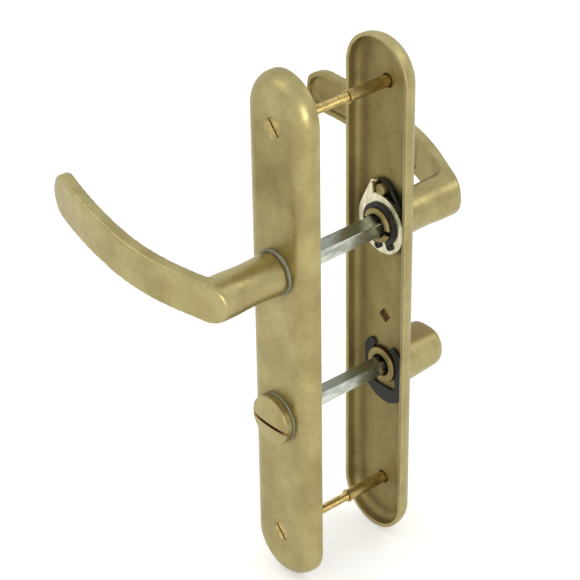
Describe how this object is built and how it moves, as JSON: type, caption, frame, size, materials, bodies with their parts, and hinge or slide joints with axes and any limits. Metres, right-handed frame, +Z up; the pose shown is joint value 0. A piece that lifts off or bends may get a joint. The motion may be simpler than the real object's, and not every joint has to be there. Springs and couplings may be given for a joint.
{
  "type": "lever door handle set on long backplates with privacy turn",
  "caption": "Pair of curved lever handles on long round-ended backplates, joined through the door, with thumb turn inside and slotted emergency release outside.",
  "frame": {"origin": "on the lever spindle's axis, midway through the door", "axes": "+Z up along the backplates, +Y through the door towards the inner side, -X towards the levers' tips"},
  "size_m": [0.112, 0.152, 0.239],
  "materials": {
    "aged_brass": "aged, tumbled satin",
    "turned_brass": "bright turned",
    "zinc_plated_steel": "zinc plated",
    "nickel_plated_steel": "nickel plated",
    "black_spring_steel": "oil blackened",
    "grey_nylon": "matt"
  },
  "bodies": {
    "plates": {"outer_backplate": "aged_brass", "inner_backplate": "aged_brass", "outer_stop_pin": "aged_brass", "inner_stop_pin": "aged_brass", "outer_neck_washer": "grey_nylon", "inner_neck_washer": "grey_nylon", "release_washer": "grey_nylon", "thumb_turn_washer": "grey_nylon", "outer_return_spring": "black_spring_steel", "inner_return_spring": "black_spring_steel", "release_clip": "black_spring_steel", "thumb_turn_clip": "black_spring_steel", "upper_screw": "turned_brass", "lower_screw": "turned_brass", "upper_sleeve_nut": "turned_brass", "lower_sleeve_nut": "turned_brass"},
    "levers": {"outer_lever": "aged_brass", "inner_lever": "aged_brass", "lever_spindle": "zinc_plated_steel", "outer_stop_plate": "nickel_plated_steel", "inner_stop_plate": "nickel_plated_steel", "outer_lever_circlip": "black_spring_steel", "inner_lever_circlip": "black_spring_steel", "outer_lever_grub": "black_spring_steel", "inner_lever_grub": "black_spring_steel"},
    "turn": {"release_button": "aged_brass", "thumb_turn": "aged_brass", "turn_spindle": "zinc_plated_steel", "thumb_turn_grub": "black_spring_steel"}
  },
  "joints": [
    {"name": "lever_press", "type": "hinge", "parent": "plates", "child": "levers", "pos_m": [0, 0, 0], "axis": [0, -1, 0], "range_deg": [0, 35], "stiffness_Nm_per_rad": 0.6, "springref_deg": -34.38, "deforming": ["outer_return_spring", "inner_return_spring"]},
    {"name": "thumb_turn_lock", "type": "hinge", "parent": "plates", "child": "turn", "pos_m": [0, 0, -0.07], "axis": [0, -1, 0], "range_deg": [0, 90]}
  ]
}
